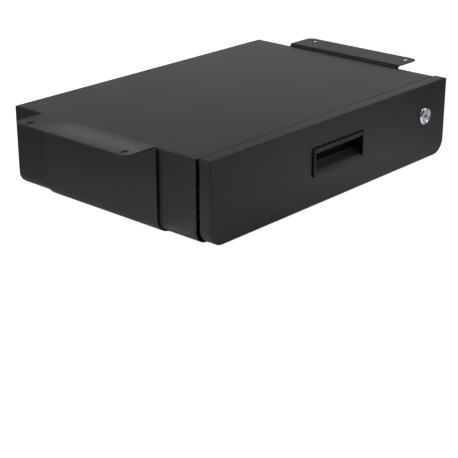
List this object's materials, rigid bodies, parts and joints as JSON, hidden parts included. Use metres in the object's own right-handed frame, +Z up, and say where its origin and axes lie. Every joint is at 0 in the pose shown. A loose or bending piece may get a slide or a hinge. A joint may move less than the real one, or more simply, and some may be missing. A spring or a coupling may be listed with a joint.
{
  "type": "under desk drawer",
  "caption": "Lockable shallow steel drawer that hangs under a desk top from a slotted cradle, on ball-bearing slides, with a recessed finger pull.",
  "frame": {"origin": "bottom centre of the whole object's box: the cradle's underside, midway between the lock's face and the back of the case", "axes": "+X to the right seen from the front, +Y to the back, +Z up; the drawer opens along -Y"},
  "size_m": [0.536, 0.3168, 0.1025],
  "materials": {
    "powder_coat": "fine satin black powder coat",
    "zinc_steel": "bright zinc plate",
    "chrome": "polished",
    "black_plastic": "satin moulded",
    "black_rubber": "matt"
  },
  "bodies": {
    "case": {"mounting_cradle": "powder_coat", "case_shell": "powder_coat", "case_floor": "powder_coat", "case_back": "powder_coat", "front_strike_bar": "powder_coat", "cradle_screw_front_left": "zinc_steel", "cradle_screw_rear_left": "zinc_steel", "cradle_screw_front_right": "zinc_steel", "cradle_screw_rear_right": "zinc_steel", "cradle_nut_front_left": "zinc_steel", "cradle_nut_rear_left": "zinc_steel", "cradle_nut_front_right": "zinc_steel", "cradle_nut_rear_right": "zinc_steel", "back_screw_left": "zinc_steel", "back_screw_right": "zinc_steel", "back_bumper_left": "black_rubber", "back_bumper_right": "black_rubber", "case_rail_left": "zinc_steel", "case_rail_right": "zinc_steel", "rail_rivet_front_left": "zinc_steel", "rail_rivet_rear_left": "zinc_steel", "rail_rivet_front_right": "zinc_steel", "rail_rivet_rear_right": "zinc_steel", "rail_stop_left": "black_rubber", "rail_stop_right": "black_rubber"},
    "drawer": {"front_panel": "powder_coat", "drawer_tray": "powder_coat", "finger_pull": "black_plastic", "lock_barrel": "chrome", "lock_nut": "zinc_steel", "pull_screw_left": "zinc_steel", "pull_screw_right": "zinc_steel", "panel_standoff_lower_left": "zinc_steel", "panel_standoff_upper_left": "zinc_steel", "panel_standoff_lower_right": "zinc_steel", "panel_standoff_upper_right": "zinc_steel", "panel_screw_lower_left": "zinc_steel", "panel_screw_upper_left": "zinc_steel", "panel_screw_lower_right": "zinc_steel", "panel_screw_upper_right": "zinc_steel", "tray_rail_left": "zinc_steel", "tray_rail_right": "zinc_steel", "tray_rail_screw_front_left": "zinc_steel", "tray_rail_screw_rear_left": "zinc_steel", "tray_rail_screw_front_right": "zinc_steel", "tray_rail_screw_rear_right": "zinc_steel"},
    "lock_core": {"lock_plug": "chrome", "lock_cam": "zinc_steel", "lock_cam_screw": "zinc_steel"},
    "middle_rail_left": {"middle_rail_left": "zinc_steel"},
    "middle_rail_right": {"middle_rail_right": "zinc_steel"},
    "outer_ball_cage_left": {"outer_ball_cage_left": "zinc_steel"},
    "outer_ball_cage_right": {"outer_ball_cage_right": "zinc_steel"},
    "inner_ball_cage_left": {"inner_ball_cage_left": "zinc_steel"},
    "inner_ball_cage_right": {"inner_ball_cage_right": "zinc_steel"}
  },
  "joints": [
    {"name": "drawer_slide", "type": "slide", "parent": "case", "child": "drawer", "axis": [0, -1, 0], "range_m": [0, 0.25]},
    {"name": "middle_rail_left_slide", "type": "slide", "parent": "case", "child": "middle_rail_left", "axis": [0, -1, 0], "range_m": [0, 0.125]},
    {"name": "middle_rail_right_slide", "type": "slide", "parent": "case", "child": "middle_rail_right", "axis": [0, -1, 0], "range_m": [0, 0.125]},
    {"name": "outer_ball_cage_left_slide", "type": "slide", "parent": "case", "child": "outer_ball_cage_left", "axis": [0, -1, 0], "range_m": [0, 0.0625]},
    {"name": "outer_ball_cage_right_slide", "type": "slide", "parent": "case", "child": "outer_ball_cage_right", "axis": [0, -1, 0], "range_m": [0, 0.0625]},
    {"name": "inner_ball_cage_left_slide", "type": "slide", "parent": "case", "child": "inner_ball_cage_left", "axis": [0, -1, 0], "range_m": [0, 0.1875]},
    {"name": "inner_ball_cage_right_slide", "type": "slide", "parent": "case", "child": "inner_ball_cage_right", "axis": [0, -1, 0], "range_m": [0, 0.1875]},
    {"name": "lock_turn", "type": "hinge", "parent": "drawer", "child": "lock_core", "pos_m": [0.1722, -0.1546, 0.0622], "axis": [0, 1, 0], "range_deg": [0, 90]}
  ],
  "couplings": [
    {"joint": "middle_rail_left_slide", "follows": "drawer_slide", "ratio": 0.5},
    {"joint": "middle_rail_right_slide", "follows": "drawer_slide", "ratio": 0.5},
    {"joint": "outer_ball_cage_left_slide", "follows": "drawer_slide", "ratio": 0.25},
    {"joint": "outer_ball_cage_right_slide", "follows": "drawer_slide", "ratio": 0.25},
    {"joint": "inner_ball_cage_left_slide", "follows": "drawer_slide", "ratio": 0.75},
    {"joint": "inner_ball_cage_right_slide", "follows": "drawer_slide", "ratio": 0.75}
  ]
}
